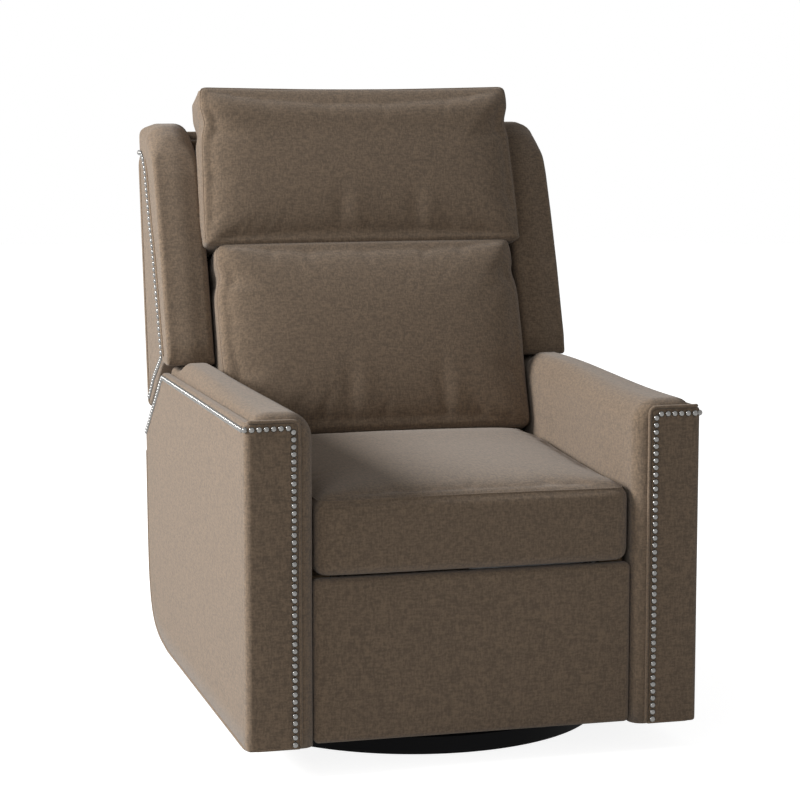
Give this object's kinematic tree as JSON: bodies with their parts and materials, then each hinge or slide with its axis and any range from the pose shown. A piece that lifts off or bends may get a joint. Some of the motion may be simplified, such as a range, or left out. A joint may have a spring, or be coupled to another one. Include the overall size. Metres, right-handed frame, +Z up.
{
  "type": "swivel wall hugger recliner",
  "caption": "Upholstered wing-back recliner with track arms and nail trim on a round swivel base; its back leans, its seat glides forward on tracks and its footrest folds out.",
  "frame": {"origin": "on the floor, at the swivel axis, in the middle of the base's underside", "axes": "+Z up, the chair faces -Y, +X is at the right of a viewer who faces the chair"},
  "size_m": [0.77, 0.9906, 1.0874],
  "materials": {
    "upholstery": "brown tweed weave",
    "nail_trim": "polished nickel nail heads",
    "frame_wood": "bare hardwood and plywood",
    "webbing": "elastic webbing",
    "felt": "felt",
    "base_black": "satin black lacquer",
    "glide_nylon": "nylon",
    "zinc_steel": "zinc plated",
    "mechanism_steel": "black powder coat"
  },
  "bodies": {
    "floor_base": {"floor_pad": "felt", "base_disc": "base_black", "lower_race": "mechanism_steel", "thrust_ring": "glide_nylon", "king_bolt": "zinc_steel"},
    "turntable": {"upper_race": "mechanism_steel", "swivel_plate": "mechanism_steel", "track_left": "mechanism_steel", "track_right": "mechanism_steel", "track_stops": "mechanism_steel"},
    "carriage": {"glide_shoes": "glide_nylon", "carriage_beam_left": "mechanism_steel", "carriage_beam_right": "mechanism_steel", "cross_bar_front": "mechanism_steel", "cross_bar_rear": "mechanism_steel", "side_plate_left": "mechanism_steel", "side_plate_right": "mechanism_steel", "plate_bolts": "zinc_steel", "footrest_pivot_studs": "zinc_steel", "back_hinge_pins": "zinc_steel", "seat_rail_left": "frame_wood", "seat_rail_right": "frame_wood", "seat_rail_front": "frame_wood", "seat_rail_rear": "frame_wood", "seat_webbing": "webbing", "seat_cushion": "upholstery", "arm_board_left": "frame_wood", "arm_board_right": "frame_wood", "arm_cover_left": "upholstery", "arm_cover_right": "upholstery", "arm_front_panel_left": "upholstery", "arm_front_panel_right": "upholstery", "arm_nail_trim": "nail_trim"},
    "back": {"back_bracket_left": "mechanism_steel", "back_bracket_right": "mechanism_steel", "back_post_left": "frame_wood", "back_post_right": "frame_wood", "back_top_rail": "frame_wood", "back_bottom_rail": "frame_wood", "inside_back": "upholstery", "outside_back_panel": "upholstery", "back_tail_panel": "upholstery", "wing_left": "upholstery", "wing_right": "upholstery", "wing_nail_trim": "nail_trim", "back_cushion": "upholstery", "headrest_pillow": "upholstery"},
    "front_links": {"front_link_left": "mechanism_steel", "front_link_right": "mechanism_steel", "torque_tube": "mechanism_steel"},
    "control_links": {"control_link_left": "mechanism_steel", "control_link_right": "mechanism_steel"},
    "lift_links": {"lift_link_left": "mechanism_steel", "lift_link_right": "mechanism_steel"},
    "tilt_links": {"tilt_link_left": "mechanism_steel", "tilt_link_right": "mechanism_steel"},
    "footrest": {"footrest_board": "frame_wood", "footrest_pad": "upholstery", "footrest_bracket_left": "mechanism_steel", "footrest_bracket_right": "mechanism_steel"}
  },
  "joints": [
    {"name": "swivel", "type": "hinge", "parent": "floor_base", "child": "turntable", "pos_m": [0, 0, 0], "axis": [0, 0, 1], "continuous": true},
    {"name": "wall_slide", "type": "slide", "parent": "turntable", "child": "carriage", "axis": [0, -1, 0], "range_m": [0, 0.18]},
    {"name": "recline", "type": "hinge", "parent": "carriage", "child": "back", "pos_m": [0, 0.36, 0.19], "axis": [-1, 0, 0], "range_deg": [0, 26]},
    {"name": "footrest_open", "type": "hinge", "parent": "carriage", "child": "front_links", "pos_m": [0, -0.255, 0.275], "axis": [-1, 0, 0], "range_deg": [0, 90]},
    {"name": "control_turn", "type": "hinge", "parent": "carriage", "child": "control_links", "pos_m": [0, -0.2844, 0.292], "axis": [-1, 0, 0], "range_deg": [0, 90]},
    {"name": "lift_turn", "type": "hinge", "parent": "front_links", "child": "lift_links", "pos_m": [0, -0.20324, 0.08181], "axis": [-1, 0, 0], "range_deg": [-90, 0]},
    {"name": "tilt_turn", "type": "hinge", "parent": "control_links", "child": "tilt_links", "pos_m": [0, -0.2492, 0.16063], "axis": [-1, 0, 0], "range_deg": [-90, 0]},
    {"name": "footrest_turn", "type": "hinge", "parent": "lift_links", "child": "footrest", "pos_m": [0, -0.316, 0.245], "axis": [-1, 0, 0], "range_deg": [0, 90]}
  ],
  "couplings": [
    {"joint": "wall_slide", "follows": "recline", "m_per_rad": 0.39666},
    {"joint": "control_turn", "follows": "footrest_open", "ratio": 1},
    {"joint": "lift_turn", "follows": "footrest_open", "ratio": -1},
    {"joint": "tilt_turn", "follows": "footrest_open", "ratio": -1},
    {"joint": "footrest_turn", "follows": "footrest_open", "ratio": 1}
  ]
}
